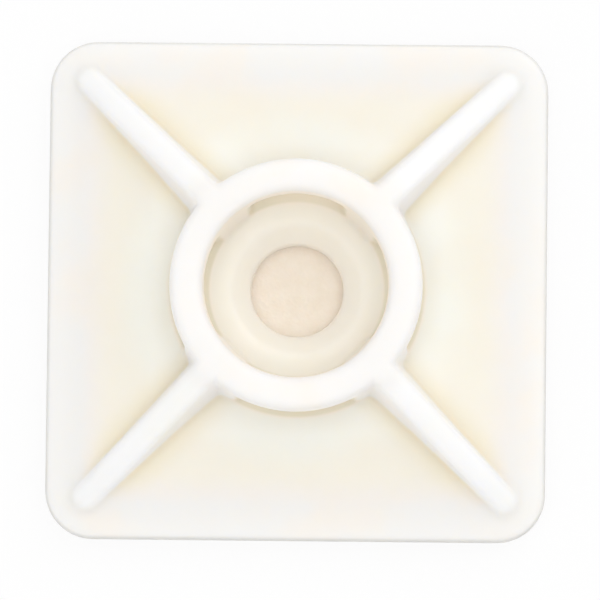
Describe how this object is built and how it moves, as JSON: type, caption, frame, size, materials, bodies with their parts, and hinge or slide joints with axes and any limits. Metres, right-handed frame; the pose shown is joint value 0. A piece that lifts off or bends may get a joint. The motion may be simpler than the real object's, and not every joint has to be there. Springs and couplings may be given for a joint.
{
  "type": "cable tie mount",
  "caption": "Square self-adhesive cable tie mount with diagonal ribs, a raised ring over crossing tie tunnels, and a countersunk screw hole.",
  "frame": {"origin": "centre of the release liner's underside, which is the centre of the part's lowest plane", "axes": "+Z away from the surface that the mount sticks to; +X and +Y square to the base's sides, along the two tie tunnels"},
  "size_m": [0.028, 0.028, 0.0071],
  "materials": {
    "nylon": "translucent satin, natural ivory",
    "foam": "matt closed-cell foam",
    "liner": "smooth coated paper"
  },
  "bodies": {
    "root": {"mount_base": "nylon", "foam_pad": "foam", "release_liner": "liner"}
  },
  "joints": []
}
